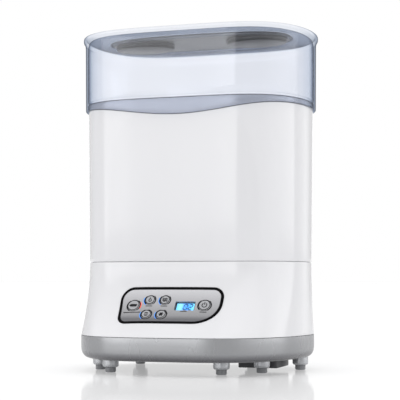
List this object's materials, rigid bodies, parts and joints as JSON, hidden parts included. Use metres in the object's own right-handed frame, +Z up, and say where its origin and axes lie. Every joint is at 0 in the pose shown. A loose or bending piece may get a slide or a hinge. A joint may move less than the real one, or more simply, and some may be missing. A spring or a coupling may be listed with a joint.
{
  "type": "bottle sterilizer",
  "caption": "Oval steam sterilizer and dryer for baby bottles, with a clear lid, lift-off sleeve, bottle rack and trays over a heated, fan-blown base.",
  "frame": {"origin": "middle of the footprint box, on the surface that the feet stand on", "axes": "+Z up, -Y towards the front with the control panel, +X towards the panel's right"},
  "size_m": [0.261, 0.2168, 0.3632],
  "materials": {
    "gloss_white": "glossy moulded plastic",
    "white_polypropylene": "satin moulded polypropylene",
    "satin_grey": "satin moulded plastic",
    "collar_grey": "semi-gloss moulded plastic",
    "tray_clear_grey": "satin moulded polypropylene",
    "clear_lid": "clear moulded plastic with a faint blue tint",
    "dark_grey": "satin moulded plastic",
    "foot_grey": "satin moulded plastic",
    "foot_rubber": "soft matt rubber",
    "screw_steel": "zinc-plated steel",
    "stainless": "spun stainless steel",
    "silicone": "soft silicone",
    "element_metal": "heat-darkened steel sheath",
    "phenolic": "black moulded plastic",
    "fuse_body": "glazed ceramic",
    "duct_plastic": "heat-resistant moulded plastic",
    "heater_aluminium": "plain aluminium",
    "filter_foam": "open-cell foam",
    "bezel_black": "gloss black plastic",
    "panel_silver": "silver-grey printed film over plastic",
    "button_silver": "silver-painted plastic",
    "display_blue": "clear window over a blue backlight",
    "display_body": "backlit display module",
    "circuit_board": "glass-fibre circuit board",
    "lead_grey": "plastic insulation",
    "lead_red": "plastic insulation"
  },
  "bodies": {
    "base": {"base_housing": "gloss_white", "bottom_cover": "satin_grey", "deck_plate": "white_polypropylene", "heater_plate": "stainless", "heater_seal": "silicone", "heating_element": "element_metal", "thermostat": "phenolic", "thermal_fuse": "fuse_body", "temperature_sensor": "stainless", "outlet_hood": "white_polypropylene", "air_duct": "duct_plastic", "ptc_heater": "heater_aluminium", "blower_case": "phenolic", "blower_motor": "heater_aluminium", "panel_bezel": "bezel_black", "panel_face": "panel_silver", "display_window": "display_blue", "display_module": "display_body", "control_board": "circuit_board", "power_board": "circuit_board", "power_inlet": "phenolic", "mains_lead": "lead_grey", "heater_lead": "lead_red", "foot_1": "foot_grey", "foot_2": "foot_grey", "foot_3": "foot_grey", "foot_4": "foot_grey", "foot_5": "foot_grey", "foot_6": "foot_grey", "foot_7": "foot_grey", "foot_pad_1": "foot_rubber", "foot_pad_2": "foot_rubber", "foot_pad_3": "foot_rubber", "foot_pad_4": "foot_rubber", "foot_pad_5": "foot_rubber", "foot_pad_6": "foot_rubber", "foot_pad_7": "foot_rubber", "case_screw_1": "screw_steel", "case_screw_2": "screw_steel", "case_screw_3": "screw_steel", "case_screw_4": "screw_steel"},
    "fan": {"impeller": "phenolic"},
    "filter": {"filter_cover": "phenolic", "filter_pad": "filter_foam"},
    "rack": {"bottle_rack": "white_polypropylene"},
    "sleeve": {"bottle_sleeve": "gloss_white", "collar_ring": "collar_grey"},
    "tray": {"upper_tray": "tray_clear_grey"},
    "lid": {"lid_cover": "clear_lid", "lid_handle": "dark_grey", "lid_grip": "dark_grey"},
    "stop_button": {"stop_button": "button_silver"},
    "steam_button": {"steam_button": "button_silver"},
    "dry_button": {"dry_button": "button_silver"},
    "auto_button": {"auto_button": "button_silver"},
    "fan_button": {"fan_button": "button_silver"},
    "power_button": {"power_button": "button_silver"}
  },
  "joints": [
    {"name": "fan_spin", "type": "hinge", "parent": "base", "child": "fan", "pos_m": [0.064, 0.00135, 0.035], "axis": [0, 0, 1], "continuous": true},
    {"name": "filter_pull", "type": "slide", "parent": "base", "child": "filter", "axis": [0, 0, -1], "range_m": [0, 0.02]},
    {"name": "rack_lift", "type": "slide", "parent": "base", "child": "rack", "axis": [0, 0, 1], "range_m": [0, 0.05]},
    {"name": "sleeve_lift", "type": "slide", "parent": "rack", "child": "sleeve", "axis": [0, 0, 1], "range_m": [0, 0.19]},
    {"name": "tray_lift", "type": "slide", "parent": "sleeve", "child": "tray", "axis": [0, 0, 1], "range_m": [0, 0.06]},
    {"name": "lid_lift", "type": "slide", "parent": "tray", "child": "lid", "axis": [0, 0, 1], "range_m": [0, 0.1]},
    {"name": "stop_button_press", "type": "slide", "parent": "base", "child": "stop_button", "axis": [0.0472, 0.801, -0.5968], "range_m": [0, 0.0008], "stiffness_N_per_m": 1500},
    {"name": "steam_button_press", "type": "slide", "parent": "base", "child": "steam_button", "axis": [0.0083, 0.8295, -0.5585], "range_m": [0, 0.0008], "stiffness_N_per_m": 1500},
    {"name": "dry_button_press", "type": "slide", "parent": "base", "child": "dry_button", "axis": [0.0002, 0.829, -0.5593], "range_m": [0, 0.0008], "stiffness_N_per_m": 1500},
    {"name": "auto_button_press", "type": "slide", "parent": "base", "child": "auto_button", "axis": [0.0124, 0.7484, -0.6631], "range_m": [0, 0.0008], "stiffness_N_per_m": 1500},
    {"name": "fan_button_press", "type": "slide", "parent": "base", "child": "fan_button", "axis": [0.0005, 0.7472, -0.6646], "range_m": [0, 0.0008], "stiffness_N_per_m": 1500},
    {"name": "power_button_press", "type": "slide", "parent": "base", "child": "power_button", "axis": [-0.0321, 0.8027, -0.5956], "range_m": [0, 0.0008], "stiffness_N_per_m": 1500}
  ]
}
